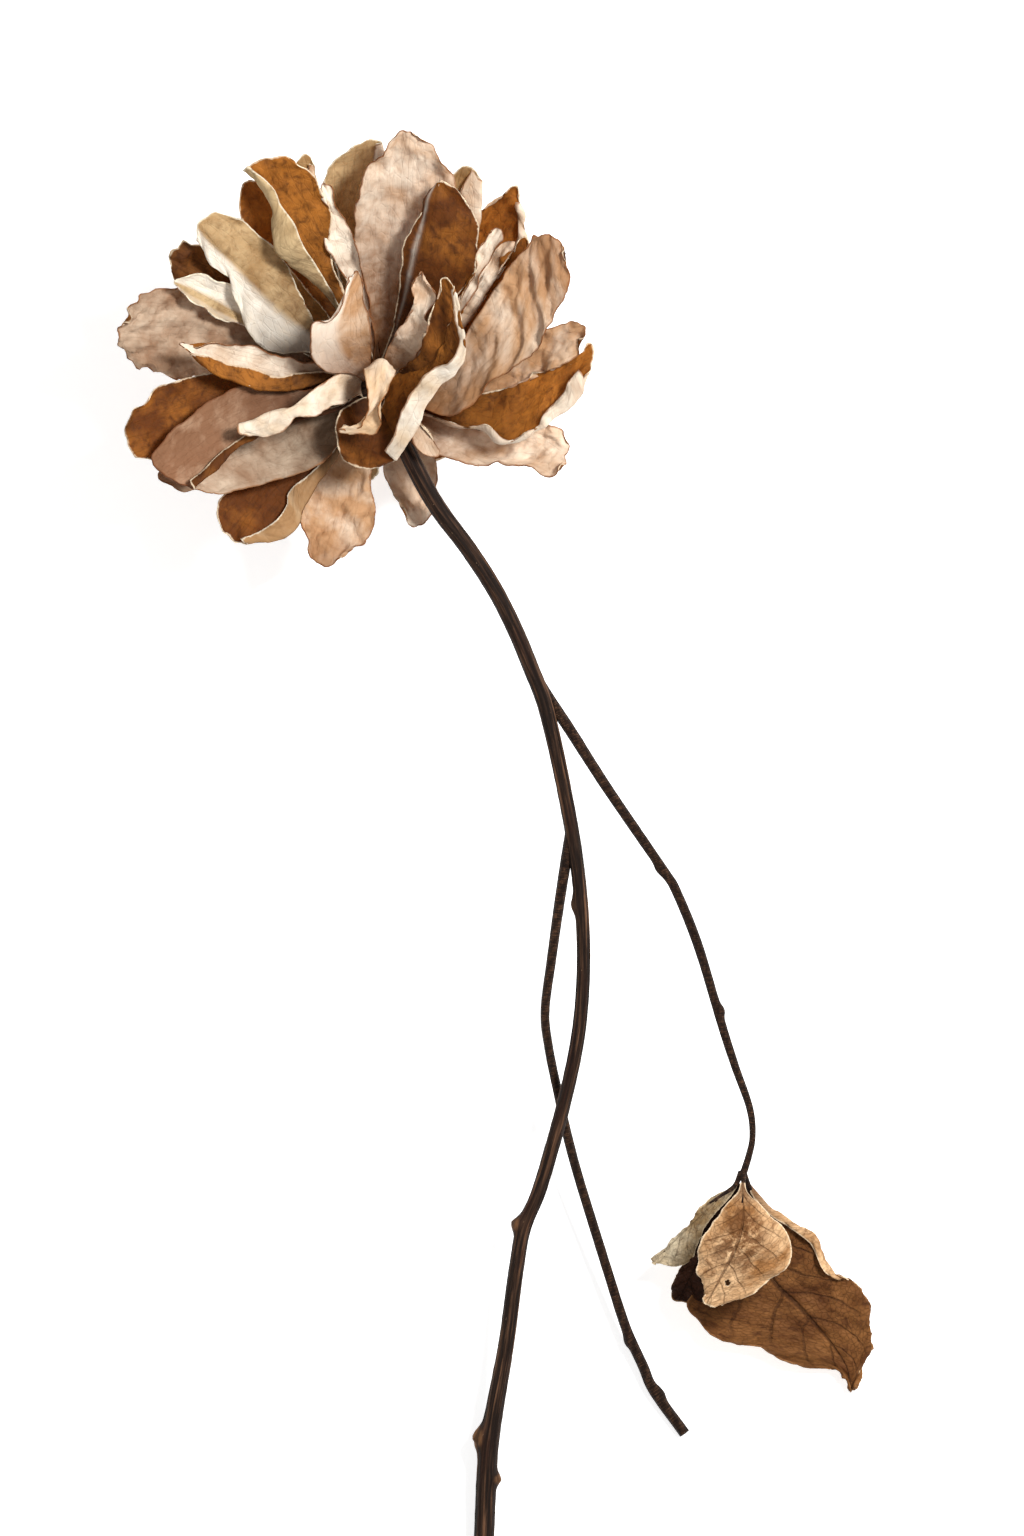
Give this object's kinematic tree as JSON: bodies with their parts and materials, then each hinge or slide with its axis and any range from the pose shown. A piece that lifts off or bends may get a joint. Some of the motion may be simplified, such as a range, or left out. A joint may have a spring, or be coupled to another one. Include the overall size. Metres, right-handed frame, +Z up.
{
  "type": "dried flower stem",
  "caption": "Dried flower with papery cream and brown petals on a forked dark woody stem, with dry leaves.",
  "frame": {"origin": "middle of the underside of the flower's box, on the surface that it lies on", "axes": "+Y along the flower from the stem's cut end towards the bloom, +Z up, away from the surface"},
  "size_m": [0.1854, 0.367, 0.0687],
  "materials": {
    "petal_pale": "matte",
    "petal_khaki": "matte",
    "petal_taupe": "matte",
    "petal_brown": "matte",
    "petal_dark": "matte",
    "leaf_tan": "matte",
    "leaf_khaki": "matte",
    "leaf_brown": "matte",
    "leaf_dark": "matte",
    "stem_bark": "satin"
  },
  "bodies": {
    "root": {"back_petal_1": "petal_khaki", "back_petal_2": "petal_khaki", "back_petal_3": "petal_khaki", "back_petal_4": "petal_khaki", "back_petal_5": "petal_khaki", "back_petal_6": "petal_khaki", "leaf_big": "leaf_brown", "leaf_front": "leaf_tan", "leaf_inner": "leaf_dark", "leaf_left": "leaf_khaki", "lower_petal_1": "petal_brown", "lower_petal_2": "petal_brown", "lower_petal_3": "petal_brown", "lower_petal_4": "petal_brown", "lower_petal_5": "petal_brown", "lower_petal_6": "petal_brown", "petal_far_left": "petal_pale", "petal_far_right_brown": "petal_brown", "petal_foot_brown": "petal_brown", "petal_foot_pale": "petal_pale", "petal_foot_tan": "petal_taupe", "petal_heart_left": "petal_pale", "petal_heart_left_curl": "petal_pale", "petal_heart_lower": "petal_brown", "petal_heart_ribbon": "petal_pale", "petal_heart_right": "petal_brown", "petal_heart_slip": "petal_taupe", "petal_heart_twist": "petal_pale", "petal_left_dark": "petal_dark", "petal_left_folded": "petal_khaki", "petal_left_rim": "petal_khaki", "petal_left_trough": "petal_pale", "petal_lower_left_brown": "petal_brown", "petal_lower_left_cupped": "petal_taupe", "petal_lower_left_grey": "petal_taupe", "petal_lower_right_pale": "petal_pale", "petal_right_broad": "petal_pale", "petal_right_dark": "petal_dark", "petal_right_loop": "petal_pale", "petal_right_pale": "petal_pale", "petal_right_pitted": "petal_pale", "petal_right_top_brown": "petal_brown", "petal_stem_slip": "petal_taupe", "petal_top_broad": "petal_pale", "petal_top_khaki": "petal_khaki", "petal_top_slip": "petal_khaki", "petal_upper_left_brown": "petal_brown", "petal_upper_left_dark": "petal_brown", "petal_upper_left_pale": "petal_pale", "petal_upper_right_brown": "petal_brown", "petal_upper_right_olive": "petal_khaki", "stem": "stem_bark", "under_petal_1": "petal_taupe", "under_petal_2": "petal_taupe", "under_petal_3": "petal_taupe", "under_petal_4": "petal_taupe", "under_petal_5": "petal_taupe"}
  },
  "joints": []
}
